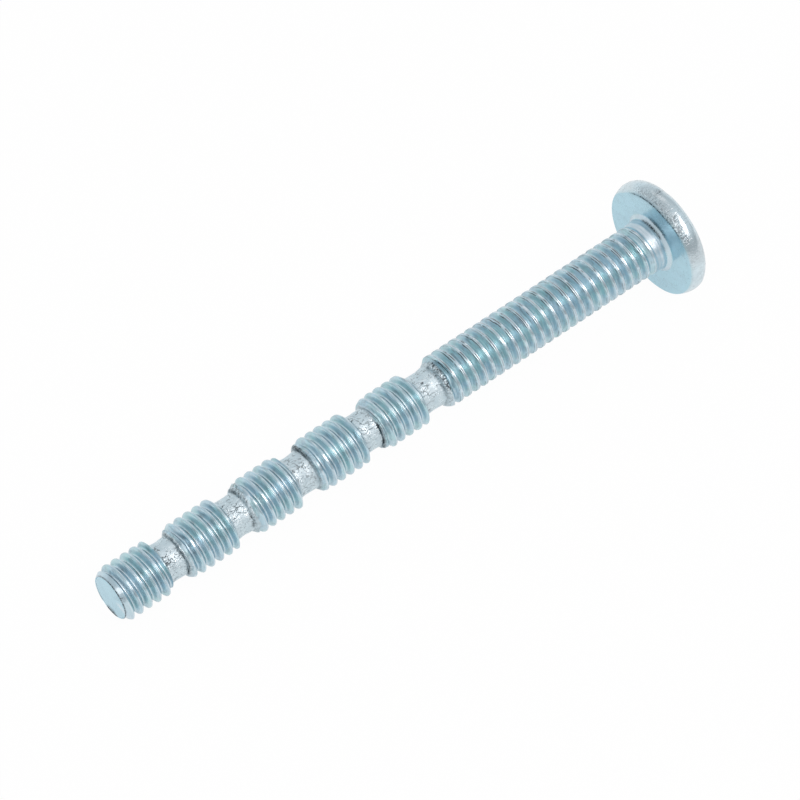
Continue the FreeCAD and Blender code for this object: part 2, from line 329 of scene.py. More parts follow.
def thread_radius(screw, distance, angle):
    """Radius of the rolled thread, with its run-outs at the collar, the necks and the tip."""
    distance, angle = np.broadcast_arrays(distance, angle)
    # The crests wander a little near the necks.
    pushed = distance
    ring = screw.point(distance, 1.9, angle)
    for neck in NECKS:
        before = neck.fold - distance
        close = np.where(before > -0.3, np.exp(-(before / 0.75) ** 2), 0.0)
        push = 0.10 + 1.8 * neck.ragged
        pushed = pushed + lumps(ring, 0.9, neck.wall) * push * close
    share = np.abs(crest_share(screw, pushed, angle))
    places, main, segment = zip(*THREAD_SECTION)
    on_main = distance < NECKS[0].fold
    crest = np.where(on_main, screw.main_radius, screw.segment_radius)
    depth = np.where(on_main, np.interp(share, places, main), np.interp(share, places, segment))
    depth = depth * screw.thread_depth
    # Behind the collar the thread is shallow at first and its root stands high.
    bite = smooth_step(0.7, 2.3, distance)
    depth = depth * (0.12 + 0.88 * bite) - 0.035 * fade(0.6, 1.4, distance)
    depth = depth - 0.014 * (1 - bite) * np.cos(2 * TURN * share)

    # Rolling leaves the crests uneven.
    points = screw.point(distance, crest, angle)
    near_crest = fade(0.12, 0.35, share)
    waves = lumps(points, 1.1, 1) * 0.012 + lumps(points, 0.33, 2) * 0.009
    radius = crest - depth + (waves - 0.004) * near_crest

    # The thread runs out on each neck's shoulder and begins again at its far wall's rounded edge.
    for neck in NECKS:
        before = neck.fold - distance
        shoulder = neck.shoulder
        uneven = lumps(points, 0.75, neck.fold + 3)
        rise = smooth_step(0.05, SHOULDER_LENGTH, before + 0.16 * uneven)
        cap = shoulder + (crest - shoulder) * rise
        floor = shoulder - 0.09 - 0.10 * before
        near = (before >= 0) & (before < SHOULDER_LENGTH)
        radius = np.where(near, np.maximum(np.minimum(radius, cap), floor), radius)
        after = distance - neck.wall
        rise = smooth_step(-0.02, WALL_EDGE, after)
        cap = WALL_RADIUS + (crest - WALL_RADIUS) * rise
        radius = np.where((after >= 0) & (after < WALL_EDGE), np.minimum(radius, cap), radius)
    chamfer = TIP_RADIUS + (tip_face(angle) - distance) * CHAMFER_SLOPE
    return np.minimum(radius, np.maximum(chamfer, TIP_RADIUS))


class Skin:
    """Points and faces of the screw's outside as they are laid, column by column."""

    def __init__(self, screw, columns):
        self.screw = screw
        self.columns = columns
        self.angles = np.arange(columns) * TURN / columns
        self.points = []
        self.faces = []
        self.count = 0

    def add(self, points):
        """Numbers of new points."""
        points = points.reshape(-1, 3)
        self.points.append(points)
        self.count += len(points)
        return np.arange(self.count - len(points), self.count)

    def ring(self, distance, radius):
        return self.add(self.screw.point(distance, radius, self.angles))

    def face(self, corners):
        """A face, left out where its corners fall together."""
        kept = [c for i, c in enumerate(corners) if c != corners[i - 1]]
        if len(kept) > 2 and len(set(kept)) == len(kept):
            self.faces.append([int(c) for c in kept])

    def band(self, near_head, near_tip):
        """Faces between two rings."""
        for column in range(self.columns):
            following = (column + 1) % self.columns
            self.face([near_head[column], near_tip[column], near_tip[following], near_head[following]])

    def bands(self, rings):
        for near, far in zip(rings, rings[1:]):
            self.band(near, far)

    def fan(self, ring, distance, towards_tip):
        """Faces from a ring to a point in its middle, at that distance."""
        middle = self.add(self.screw.point(distance, 0.0, 0.0))[0]
        for column in range(self.columns):
            following = (column + 1) % self.columns
            corners = [ring[column], middle, ring[following]]
            self.face(corners if towards_tip else corners[::-1])

    def thread(self, start, stop):
        """The thread between two distances, with its rows along the helix, and its two end rings."""
        start = np.broadcast_to(start, self.angles.shape)
        stop = np.broadcast_to(stop, self.angles.shape)
        first = self.ring(start, thread_radius(self.screw, start, self.angles))
        last = self.ring(stop, thread_radius(self.screw, stop, self.angles))
        half = [row[0] for row in THREAD_SECTION]
        shares = [-share for share in half[-2:0:-1]] + half
        per_pitch = len(shares)
        lowest = math.floor((start.min() - self.screw.crest_place) / self.screw.pitch) - 2
        highest = math.ceil((stop.max() - self.screw.crest_place) / self.screw.pitch) + 3
        rows = [pitch + share for pitch in range(lowest, highest) for share in shares]
        along = np.array(rows) * self.screw.pitch + self.screw.crest_place
        distance = along[:, None] - self.screw.pitch * self.angles[None, :] / TURN
        inside = (distance > start + ROW_GAP) & (distance < stop - ROW_GAP)
        angle = np.broadcast_to(self.angles[None, :], distance.shape)
        radius = thread_radius(self.screw, distance[inside], angle[inside])
        made = self.add(self.screw.point(distance[inside], radius, angle[inside]))
        number = np.where(distance <= start + ROW_GAP, first[None, :], last[None, :])
        number[inside] = made
        for row in range(per_pitch, len(rows) - 1):
            for column in range(self.columns):
                following, back = column + 1, 0
                if following == self.columns:
                    following, back = 0, per_pitch
                self.face([
                    number[row, column], number[row + 1, column],
                    number[row + 1 - back, following], number[row - back, following],
                ])
        return first, last

    def neck(self, neck, near_head, near_tip):
        """A neck between two end rings: shoulder, folded edge, rough waist and the far wall."""
        angles, waist = self.angles, self.screw.waist_radius
        wall = neck.wall
        fold = fold_line(self.screw, neck, angles)
        start = thread_end(self.screw, neck, angles)
        edge = self.screw.point(start, 1.7, angles)
        shoulder = neck.shoulder + lumps(edge, 0.8, neck.fold + 2) * 0.035
        rings = [near_head]
        carried = thread_radius(self.screw, start, angles)
        lip = carried + (shoulder - carried) * 0.6
        # Rows of the sharp fold, as distance and radius: the last four past the fold and under a level.
        sharp = [(start + (fold - start) * share, carried + (lip - carried) * share) for share in (0.4, 0.8)]
        steps = ((0.03, lip, 0.05), (0.03, lip, 0.11), (-0.02, waist, 0.01), (0.05, waist, 0.03))
        sharp += [(fold + past, level - drop) for past, level, drop in steps]
        deep = fold_depth(self.screw, neck, angles)
        # Where the fold is not deep, the same rows run gently from the shoulder into the waist.
        for (distance, radius), share in zip(sharp, (0.18, 0.36, 0.54, 0.72, 0.88, 1.0)):
            gentle = start + (fold + 0.09 - start) * share
            level = carried + (waist + 0.02 - carried) * smooth_step(0.0, 1.0, share)
            rings.append(self.ring(gentle + (distance - gentle) * deep, level + (radius - level) * deep))
        for share in np.linspace(0.07, 0.93, 14):
            distance = fold + (wall - fold) * share
            ring = self.screw.point(distance, waist, angles)
            sway = lumps(ring, 0.55, neck.wall) * 0.028 + lumps(ring, 0.17, 7) * 0.010
            hollow = 0.06 * (2 * share - 1) ** 2
            rings.append(self.ring(distance, waist + sway + hollow))
        rings.append(self.ring(wall - 0.02, waist + 0.14))
        self.bands(rings + [near_tip])

    def mesh(self, name):
        mesh = bpy.data.meshes.new(name)
        mesh.from_pydata(np.concatenate(self.points).tolist(), [], self.faces)
        mesh.update()
        return mesh


def lay_shank(screw):
    """The whole shank, from the collar's edge on the bearing face to the tip's face."""
    skin = Skin(screw, screw.columns)
    starts = [THREAD_START] + [neck.wall + 0.03 for neck in NECKS]
    stops = [thread_end(screw, neck, skin.angles) for neck in NECKS] + [tip_face(skin.angles) - 0.03]
    ends = [skin.thread(start, stop) for start, stop in zip(starts, stops)]
    for neck, before, after in zip(NECKS, ends, ends[1:]):
        skin.neck(neck, before[1], after[0])

    collar = [skin.ring(*place) for place in COLLAR_CURVE]
    skin.bands(collar + [ends[0][0]])

    edge = tip_face(skin.angles)
    face = [ends[-1][1]]
    for step, inwards in ((0.005, 0.005), (0.0, 0.025), (0.035, 0.045)):
        face.append(skin.ring(edge - step, TIP_RADIUS - inwards))
    for share in (0.97, 0.85, 0.65, 0.35):
        level = TIP_PLACE + (edge - TIP_PLACE) * share
        face.append(skin.ring(level - 0.005, (TIP_RADIUS - 0.045) * share))
    skin.bands(face)
    skin.fan(face[-1], TIP_PLACE - 0.005, True)
    return skin.mesh("shank")


def crown_section():
    """Radius and height over the bearing face from the bearing face's edge over the rim to the crown."""
    section = []
    for share in (0.0, 0.12, 0.3, 0.55, 0.8, 1.0):
        lift = 1 - (1 - share) ** 2
        section.append((BEARING_RADIUS + RIM_BULGE * lift, RIM_HEIGHT * share))
    middle = BEARING_RADIUS + RIM_BULGE - RIM_CURVE
    for degrees in (12, 24, 36, 48, 59):
        turn = math.radians(degrees)
        section.append((middle + RIM_CURVE * math.cos(turn), RIM_HEIGHT + RIM_CURVE * math.sin(turn)))
    bend, height = section[-1]
    for share in np.linspace(0.88, 0.06, 11):
        section.append((bend * share, CROWN_HEIGHT - (CROWN_HEIGHT - height) * share ** 2))
    return section


def lip_radius(angle):
    """Radius of the bearing face's edge: the rim's skin bulges in over it on one side."""
    return BEARING_RADIUS - 0.24 * arc_share(angle, -15, 45)


def lay_head(screw):
    """The closed head, with a plain cap where the collar joins it."""
    skin = Skin(screw, screw.columns)
    edge = lip_radius(skin.angles)
    underside = (COLLAR_RADIUS, 2.26, 2.6, 3.0, 3.4, edge - 0.30, edge - 0.06)
    rings = [skin.ring(0.0, radius) for radius in underside]
    for radius, height in crown_section():
        bulge = fade(0.0, 0.55, height)
        radius = radius + (edge - BEARING_RADIUS) * bulge * smooth_step(3.8, 4.0, radius)
        ring = screw.point(-height, radius, skin.angles)
        on_rim = smooth_step(0.0, 0.35, height) * smooth_step(2.6, 3.9, radius)
        dents = lumps(ring, 0.9, 31) * 0.016 + lumps(ring, 0.34, 32) * 0.012
        dent, corner = np.cos(skin.angles - RIM_DENT), np.cos(skin.angles - RIM_CORNER)
        dents = dents - 0.06 * np.exp((dent - 1) * 250) * smooth_step(0.45, 0.9, height)
        dents = dents + 0.03 * np.exp((corner - 1) * 180) * smooth_step(0.5, 1.0, height)
        rings.append(skin.ring(-height, radius + (dents - 0.028) * on_rim))
    skin.bands(rings[::-1])
    skin.fan(rings[-1], -CROWN_HEIGHT, False)
    skin.faces.append([int(number) for number in rings[0]])
    return skin.mesh("head")


def recess_wing(screw, quarter):
    """One bar of the cross recess, which narrows to its floor, as a closed cutter."""
    turn = screw.recess_turn + quarter * TURN / 4
    points = []
    for height, reach, half_width in BAR_LEVELS:
        along = reach * np.array([-1, 1, 1, -1])
        across = half_width * np.array([-1, -1, 1, 1])
        corners = screw.point(-height, np.hypot(along, across), turn + np.arctan2(across, along))
        points.extend(corners.tolist())
    faces = [[0, 3, 2, 1]]
    for level in range(len(BAR_LEVELS) - 1):
        for corner in range(4):
            following = (corner + 1) % 4
            low, high = 4 * level, 4 * level + 4
            faces.append([low + corner, low + following, high + following, high + corner])
    top = 4 * (len(BAR_LEVELS) - 1)
    faces.append([top, top + 1, top + 2, top + 3])
    mesh = bpy.data.meshes.new("wing")
    mesh.from_pydata(points, [], faces)
    return mesh


def recess_core(screw):
    """The round core of the recess with the blunt point at its floor, as a closed cutter."""
    skin = Skin(screw, 32)
    rings = [skin.ring(-height, radius) for height, radius in CORE_LEVELS]
    skin.band(rings[1], rings[0])
    skin.fan(rings[0], -CORE_FLOOR, True)
    skin.fan(rings[1], -CORE_TOP, False)
    return skin.mesh("core")


def add_object(name, data):
    """A new object in the scene."""
    item = bpy.data.objects.new(name, data)
    bpy.context.scene.collection.objects.link(item)
    return item


def cut(mesh, cutter):
    """The mesh with the cutter taken away, as a new mesh."""
    for piece in (mesh, cutter):
        made = bmesh.new()
        made.from_mesh(piece)
        bmesh.ops.recalc_face_normals(made, faces=made.faces)
        made.to_mesh(piece)
        made.free()
    body, tool = add_object("body", mesh), add_object("tool", cutter)
    modifier = body.modifiers.new("cut", "BOOLEAN")
    modifier.operation = "DIFFERENCE"
    modifier.solver = "EXACT"
    modifier.object = tool
    bpy.context.view_layer.update()
    result = bpy.data.meshes.new_from_object(body.evaluated_get(bpy.context.evaluated_depsgraph_get()))
    for item in (body, tool):
        bpy.data.objects.remove(item)
    if not len(result.polygons):
        raise RuntimeError("the recess could not be cut")
    return result


def join_screw(screw, shank, head):
    """Shank and head as one closed skin, welded along the collar's edge."""
    made = bmesh.new()
    made.from_mesh(head)
    inner = []
    for face in made.faces:
        corners = np.array([tuple(vertex.co) for vertex in face.verts])
        distance, radius, _ = screw.read(corners)
        if np.abs(distance).max() < 1e-3 and radius.max() < COLLAR_RADIUS + 0.005:
            inner.append(face)
    if not inner:
        raise RuntimeError("the head's cap was not found")
    bmesh.ops.delete(made, geom=inner, context="FACES")
    made.from_mesh(shank)
    bmesh.ops.remove_doubles(made, verts=made.verts, dist=WELD)
    bmesh.ops.recalc_face_normals(made, faces=made.faces)
    open_edges = sum(1 for edge in made.edges if not edge.is_manifold)
    for edge in made.edges:
        edge.smooth = not edge.is_manifold or edge.calc_face_angle(0.0) < SHARP_ANGLE
    for face in made.faces:
        face.smooth = True
    mesh = bpy.data.meshes.new("zinc_screw")
    made.to_mesh(mesh)
    triangles = sum(len(face.verts) - 2 for face in made.faces)
    made.free()
    print("screw: open edges", open_edges, "triangles", triangles)
    return mesh


def close_to(value, place, half_width):
    """1 at a place, falling softly to 0 on both sides over about that half width."""
    return np.exp(-((value - place) / half_width) ** 2)


class SkinPoints:
    """The points of the finished skin, with their distance, radius and angle."""

    def __init__(self, screw, mesh):
        flat = np.empty(len(mesh.vertices) * 3)
        mesh.vertices.foreach_get("co", flat)
        self.points = flat.reshape(-1, 3)
        self.distance, self.radius, self.angle = screw.read(self.points)

    def lumps(self, size, seed):
        return lumps(self.points, size, seed)

    def arc(self, middle, half_width):
        return arc_share(self.angle, middle, half_width)


def mark_thread(screw, skin):
    """How much the thread and the collar are crest, flank and rolled lap; the lap's darkness holds painted
    shade, strongest on the arc that faces the camera.
    """
    share = crest_share(screw, skin.distance, skin.angle)
    away = np.abs(share)
    on_thread = (skin.distance > THREAD_START) & (skin.distance < TIP_PLACE - 0.04)
    on_main = skin.distance < NECKS[0].fold
    outer = smooth_step(1.70, 1.80, skin.radius)
    main_crest = fade(0.06, 0.15, away) * outer
    segment_crest = fade(0.04, 0.10, np.abs(share + 0.07)) * outer
    segment_crest = np.maximum(segment_crest, smooth_step(0.43, 0.48, away) * 0.9)
    crest = np.where(on_thread, np.where(on_main, main_crest, segment_crest), 0.0)
    on_chamfer = smooth_step(CHAMFER_START - 0.05, CHAMFER_START + 0.1, skin.distance)
    chamfer = on_chamfer * (skin.radius > TIP_RADIUS - 0.03)
    frost = smooth_step(0.24, 0.32, skin.distance) * fade(1.0, 1.35, skin.distance)
    crest = np.maximum(crest, np.maximum(chamfer * 0.55, frost))
    on_collar = (skin.distance > 0.01) & (skin.distance < 0.2)
    crest[on_collar] = 0.8

    rolled = on_thread & (skin.distance < CHAMFER_START)
    broken = smooth_step(-0.45, 0.15, skin.lumps(0.7, 41))
    # Painted shade: the laps are darkest on the arc facing the camera.
    camera_shade_arc = np.where(on_main, skin.arc(6, 36), skin.arc(15, 42))
    lap_shade = rolled * (0.45 + 0.55 * camera_shade_arc) * (0.35 + 0.65 * broken) * smooth_step(0.9, 1.6, skin.distance)
    flank = np.maximum(rolled * smooth_step(0.16, 0.26, away), np.maximum(frost, on_collar) * 0.8)
    return {
        "crest_share": crest, "flank_share": flank, "lap_shade_share": lap_shade, "thread_share": away,
        "side_share": np.clip(share * 12, -1, 1), "main_share": on_main,
    }


def mark_necks(screw, skin):
    """How much the necks are fold, dark metal with painted shade under the shoulder's edge, rough skin and
    torn, and how creased the thread is behind them; the nicks add painted shadow lines to the torn share.
    """
    fold, rough, torn_and_shadow, creased = np.zeros((4, len(skin.distance)))
    for neck in NECKS:
        past = skin.distance - fold_line(screw, neck, skin.angle)
        arc = np.minimum(0.36 + 0.9 * fold_depth(screw, neck, skin.angle), 1)
        patchy = 0.5 + 0.5 * smooth_step(-0.25, 0.3, skin.lumps(0.4, neck.wall + 9))
        # The fold under the shoulder's edge: dark metal plus painted shade.
        line = close_to(past, 0.0, 0.06) * (skin.radius < 1.74)
        fold = np.maximum(fold, line * neck.dirt * patchy * arc)
        shoulder = smooth_step(-0.45, -0.15, past) * (past < 0)
        torn_and_shadow = np.maximum(torn_and_shadow, shoulder * arc * patchy * neck.ragged * 9)
        before = 0.03 + 7 * max(0.0, neck.ragged - 0.045)
        within = smooth_step(-before, 0.02 - before * 0.6, past)
        within = within * fade(-0.05, 0.03, skin.distance - neck.wall)
        rough = np.maximum(rough, within * (skin.radius < np.where(past < 0, 1.9, 1.75)))
        crease = close_to(skin.distance, neck.wall + 0.22, 0.28) * (skin.radius > 1.5)
        creased = np.maximum(creased, crease * 0.6)
    for place, middle, half_length, half_width, darkness in NICKS_AND_SHADOWS:
        spot = close_to(skin.distance, place, half_length) * skin.arc(middle, half_width)
        torn_and_shadow = np.maximum(torn_and_shadow, spot * darkness)
    return fold, rough, torn_and_shadow, creased


def paint_tip_shade(skin):
    """Painted shade round the tip's cut face, on the side that faces the camera, and a painted shadow line
    where a burr steps its lower edge.
    """
    face = tip_face(skin.angle)
    line = close_to(skin.distance, face - 0.03, 0.035) * (skin.radius > TIP_RADIUS - 0.03) * skin.arc(36, 88)
    # Painted shadow line at the step on the face's lower edge.
    step_shadow = smooth_step(1.20, 1.36, skin.radius) * skin.arc(178, 20) * (skin.distance > face - 0.05)
    return np.maximum(line, step_shadow) * 0.8 * (skin.distance > CHAMFER_START + 0.1)


def mark_head(skin):
    """Painted shade at the head: dark lines in the collar's groove, at the collar's corner (a painted dark
    reflection) and at the bearing face's edge, on the arcs facing the camera; and the rough skin of the rim,
    with its mottled wear and painted shade on two arcs.
    """
    at_seat = np.abs(skin.distance)
    # Painted shade lines: the groove, the corner's dark reflection and the lip's edge are darkened only on
    # the arcs facing the camera.
    groove_shade = close_to(skin.distance, 0.22, 0.06) * (skin.radius < 2.3) * skin.arc(8, 30) * 0.9
    corner = close_to(skin.radius, COLLAR_RADIUS + 0.02, 0.045) * (at_seat < 0.06) * skin.arc(18, 24) * 0.9
    lip = close_to(skin.radius, lip_radius(skin.angle), 0.05) * (at_seat < 0.12) * skin.arc(5, 40) * 0.8
    rim = smooth_step(0.02, 0.16, -skin.distance) * smooth_step(0.5, 2.2, skin.radius)
    mottled = smooth_step(-0.2, 0.35, skin.lumps(0.5, 47))
    # Mottled wear all round the rim, plus painted shade on two arcs where the rim reflects darker parts of
    # the room.
    wear_and_shade = np.maximum(skin.arc(0, 24) * (0.22 + 0.25 * mottled), skin.arc(62, 14) * 0.6)
    return np.maximum.reduce((groove_shade, corner, lip)), rim, rim * np.maximum(wear_and_shade, mottled * 0.16)


def mark_surface(screw, mesh):
    """Writes how much each point is crest, fold, rough skin and so on, for the plating's materials."""
    skin = SkinPoints(screw, mesh)
    marks = mark_thread(screw, skin)
    fold, rough, torn_and_shadow, creased = mark_necks(screw, skin)
    head_shade, rim, wear_and_shade = mark_head(skin)
    rough = np.maximum(rough, rim)
    on_head = skin.distance < 0
    bearing_face = (np.abs(skin.distance) < 0.02) & (skin.radius > COLLAR_RADIUS + 0.02)
    cut_face = (skin.distance > TIP_PLACE - 0.24) & (skin.radius < TIP_RADIUS - 0.02)
    under_collar = smooth_step(0.22, 0.4, skin.distance) * fade(0.9, 1.7, skin.distance)
    rolled = 0.10 * (marks["lap_shade_share"] > 0)
    marks.update({
        "fold_and_shade_share": np.maximum.reduce((fold, head_shade, paint_tip_shade(skin))),
        "rough_share": rough,
        "torn_and_shadow_share": torn_and_shadow,
        "rim_wear_shade_share": wear_and_shade,
        "crack_share": np.where(on_head, 0.25, rough * (0.55 + 0.45 * skin.arc(5, 45))),
        "grain_share": np.where(on_head, 0.12, 1.0) * rough,
        "wrinkle_share": np.maximum.reduce((under_collar, creased, rolled)),
        "flat_share": bearing_face | cut_face,
    })
    for name, values in marks.items():
        layer = mesh.attributes.new(name, "FLOAT", "POINT")
        layer.data.foreach_set("value", values.astype(np.float32))


class Wiring:
    """Places nodes in a tree and joins them. A value is a socket, a number or a colour."""

    def __init__(self, tree):
        self.tree = tree

    def place(self, kind, **settings):
        node = self.tree.nodes.new(kind)
        for name, value in settings.items():
            setattr(node, name, value)
        return node

    def feed(self, value, socket):
        if hasattr(value, "links"):
            self.tree.links.new(value, socket)
        else:
            socket.default_value = value

    def feed_all(self, node, values):
        for label, value in values.items():
            self.feed(value, node.inputs[label])
        return node.outputs

    def math(self, operation, *values, clamp=False):
        """Works the values together one after the other, and clamps only the last result."""
        result = values[0]
        for value in values[1:]:
            node = self.place("ShaderNodeMath", operation=operation)
            self.feed(result, node.inputs[0])
            self.feed(value, node.inputs[1])
            result = node.outputs[0]
        node.use_clamp = clamp
        return result

    def times(self, *values, clamp=False):
        return self.math("MULTIPLY", *values, clamp=clamp)

    def plus(self, *values, clamp=False):
        return self.math("ADD", *values, clamp=clamp)

    def minus(self, first, second):
        return self.math("SUBTRACT", first, second)

    def larger(self, *values, clamp=False):
        return self.math("MAXIMUM", *values, clamp=clamp)

    def vector(self, operation, first, second, output="Vector"):
        node = self.place("ShaderNodeVectorMath", operation=operation)
        for value, socket in zip((first, second), node.inputs):
            self.feed(value, socket)
        return node.outputs[output]

    def noise(self, place, scale, detail, roughness=0.5, output="Fac"):
        node = self.place("ShaderNodeTexNoise")
        values = {"Vector": place, "Scale": scale, "Detail": detail, "Roughness": roughness}
        return self.feed_all(node, values)[output]

    def spread(self, value, low, high, new_low=0.0, new_high=1.0):
        """From the new low at the low value softly to the new high at the high value."""
        node = self.place("ShaderNodeMapRange", interpolation_type="SMOOTHSTEP")
        values = {"Value": value, "From Min": low, "From Max": high, "To Min": new_low, "To Max": new_high}
        return self.feed_all(node, values)["Result"]

    def blend(self, share, first, second):
        """The first colour, or the second where the share is 1."""
        node = self.place("ShaderNodeMix", data_type="RGBA")
        self.feed(share, node.inputs["Factor"])
        colours = [socket for socket in node.inputs if socket.type == "RGBA"]
        for value, socket in zip((first, second), colours):
            self.feed(value if hasattr(value, "links") else (*value, 1.0), socket)
        return [socket for socket in node.outputs if socket.type == "RGBA"][0]

    def share(self, name):
        """A share that mark_surface has written on the mesh."""
        return self.place("ShaderNodeAttribute", attribute_name=name).outputs["Fac"]

    def object_place(self):
        return self.place("ShaderNodeTexCoord").outputs["Object"]

    def drawn_out(self, stretch):
        """Coordinates of the object, drawn out along the screw below 1 and round it where it is above 1."""
        factors = self.place("ShaderNodeCombineXYZ")
        for value, socket in zip((stretch, 1.0, 1.0), factors.inputs):
            self.feed(value, socket)
        return self.vector("MULTIPLY", self.object_place(), factors.outputs["Vector"])

    def effect(self, group, **values):
        """A node group placed with its own values."""
        return self.feed_all(self.place("ShaderNodeGroup", node_tree=group), values)

    def show(self, share, first, second, end):
        """Mixes two shaders into the tree's output."""
        mix = self.place("ShaderNodeMixShader")
        for value, socket in zip((share, first.outputs[0], second.outputs[0]), mix.inputs):
            self.feed(value, socket)
        self.feed(mix.outputs[0], self.place(end).inputs["Surface"])


class Effect(Wiring):
    """A shader node group with named sockets."""

    def __init__(self, name, inputs, outputs):
        super().__init__(bpy.data.node_groups.new(name, "ShaderNodeTree"))
        for label, default in inputs.items():
            socket = self.tree.interface.new_socket(label, in_out="INPUT", socket_type="NodeSocketFloat")
            socket.default_value = default
        for label in outputs:
            self.tree.interface.new_socket(label, in_out="OUTPUT", socket_type="NodeSocketFloat")
        self.into = self.place("NodeGroupInput").outputs

    def give(self, **results):
        self.feed_all(self.place("NodeGroupOutput"), results)
        return self.tree


def grain_effect():
    """Fine unevenness of plated metal: a height, and masks of duller spots, drawn fibres and creases."""
    outputs = ("Height", "Dull", "Fibres", "Wrinkles")
    group = Effect("plated_grain", {"Scale": 6000.0, "Stretch": 1.0}, outputs)
    place = group.drawn_out(group.into["Stretch"])
    fine = group.noise(place, group.into["Scale"], 3.0, 0.6)
    broad = group.noise(place, group.times(group.into["Scale"], 0.22), 2.0)
    fibres = group.noise(group.drawn_out(0.16), 8000.0, 3.0, 0.65)
    wrinkles = group.noise(group.drawn_out(9.0), 1000.0, 2.0, 0.55)
    dull, fibres = group.spread(broad, 0.42, 0.66), group.spread(fibres, 0.44, 0.62)
    return group.give(Height=group.plus(fine, broad), Dull=dull, Fibres=fibres, Wrinkles=wrinkles)


def crack_effect():
    """Thin broken lines and tears in cold-worked metal, as masks."""
    group = Effect("skin_cracks", {"Scale": 2600.0, "Width": 0.05, "Stretch": 1.0}, ("Cracks", "Tears"))
    place = group.drawn_out(group.into["Stretch"])
    bend = group.noise(place, 3500.0, 2.0, output="Color")
    bent = group.vector("ADD", place, group.vector("MULTIPLY", bend, (0.0003, 0.0003, 0.0003)))
    cells = group.place("ShaderNodeTexVoronoi", feature="DISTANCE_TO_EDGE")
    cells = group.feed_all(cells, {"Vector": bent, "Scale": group.into["Scale"]})
    thin = group.minus(group.into["Width"], cells["Distance"])
    line = group.math("DIVIDE", thin, group.into["Width"], clamp=True)
    gaps = group.spread(group.noise(place, 3200.0, 2.0, 0.65), 0.44, 0.55)
    tears = group.spread(group.noise(place, 9000.0, 2.0, 0.6), 0.46, 0.55)
    return group.give(Cracks=group.times(line, gaps), Tears=tears)


def lap_shade_effect():
    """Thin dark laps that rolling leaves along a thread's crests, and painted shade along the head-facing
    flank by the root, as masks.
    """
    group = Effect("crest_laps_and_root_shade", {"Share": 0.5, "Side": 0.0}, ("Edge", "Middle", "Root"))
    share, side, place = group.into["Share"], group.into["Side"], group.object_place()
    sway = group.minus(group.noise(place, 900.0, 2.0), 0.5)
    fine = group.minus(group.noise(place, 4200.0, 1.0), 0.5)
    swayed = group.plus(share, group.plus(group.times(sway, 0.12), group.times(fine, 0.05)))
    gaps = group.spread(group.noise(place, 1700.0, 2.0), 0.36, 0.50)

    away = group.math("ABSOLUTE", group.minus(swayed, 0.19), 0.0)
    edge = group.times(group.spread(away, 0.014, 0.042, 1.0, 0.0), group.spread(side, 0.1, 0.6), gaps)
    middle = group.spread(group.plus(share, group.times(fine, 0.03)), 0.030, 0.085, 1.0, 0.0)
    head_side = group.spread(side, -0.6, -0.1, 1.0, 0.0)
    # Painted shade in the root, on the head-facing flank.
    band = group.times(group.spread(swayed, 0.33, 0.38), group.spread(swayed, 0.44, 0.48, 1.0, 0.0))
    return group.give(Edge=edge, Middle=group.times(middle, gaps), Root=group.times(band, head_side))


def dark_marks(wires, cracks):
    """Folds with their painted shade, cracks, torn spots and painted shadow lines, as one mask."""
    specks = wires.plus(wires.times(cracks["Tears"], 0.85), 0.72)
    fold = wires.times(wires.share("fold_and_shade_share"), specks)
    crack = wires.times(cracks["Cracks"], wires.times(wires.share("crack_share"), 0.93))
    torn_and_shadow = wires.times(cracks["Tears"], wires.share("torn_and_shadow_share"))
    return wires.larger(fold, wires.larger(crack, torn_and_shadow), clamp=True)


def lap_shade_marks(wires, fine, lap_shade_group):
    """Laps on the crests of the main thread, painted shade in the roots of the segments, and fine rolling
    streaks.
    """
    lap_shade = wires.effect(lap_shade_group, Share=wires.share("thread_share"), Side=wires.share("side_share"))
    on_main = wires.share("main_share")
    edge = wires.times(lap_shade["Edge"], on_main, 0.90)
    middle = wires.times(lap_shade["Middle"], on_main, 0.80)
    # Painted shade in the segments' roots.
    root = wires.times(lap_shade["Root"], wires.minus(0.75, on_main), clamp=True)
    streaks = wires.spread(fine["Wrinkles"], 0.53, 0.65, 0.0, 0.34)
    return wires.times(wires.larger(edge, root, middle, streaks), wires.share("lap_shade_share"))


def plating_colour(wires, finish, fine, dark):
    """The plating's colour, from its even tone to the darkest fold and painted shade."""
    place = wires.object_place()
    rough, lap_shade = wires.share("rough_share"), wires.share("lap_shade_share")
    sheen = wires.spread(wires.noise(place, 750.0, 2.0), 0.40, 0.62)
    spots = wires.spread(wires.noise(place, 2600.0, 2.0), 0.50, 0.64)
    pale = wires.spread(fine["Wrinkles"], 0.36, 0.48, 0.45, 0.0)
    layers = (
        (wires.times(spots, 0.35), finish.stain),
        (wires.times(wires.share("flat_share"), 0.85), finish.flat),
        (wires.times(wires.share("crest_share"), 0.80), finish.crest),
        (wires.times(pale, lap_shade), finish.crest),
        (rough, finish.skin),
        (wires.times(fine["Fibres"], rough, 0.14), finish.fibre),
        (wires.share("rim_wear_shade_share"), finish.wear_and_shade),
        (wires.times(fine["Dull"], 0.11), finish.dull),
        (dark, finish.dirt),
    )
    colour = wires.blend(sheen, finish.plate, finish.greenish)
    for share, tone in layers:
        colour = wires.blend(share, colour, tone)
    return colour


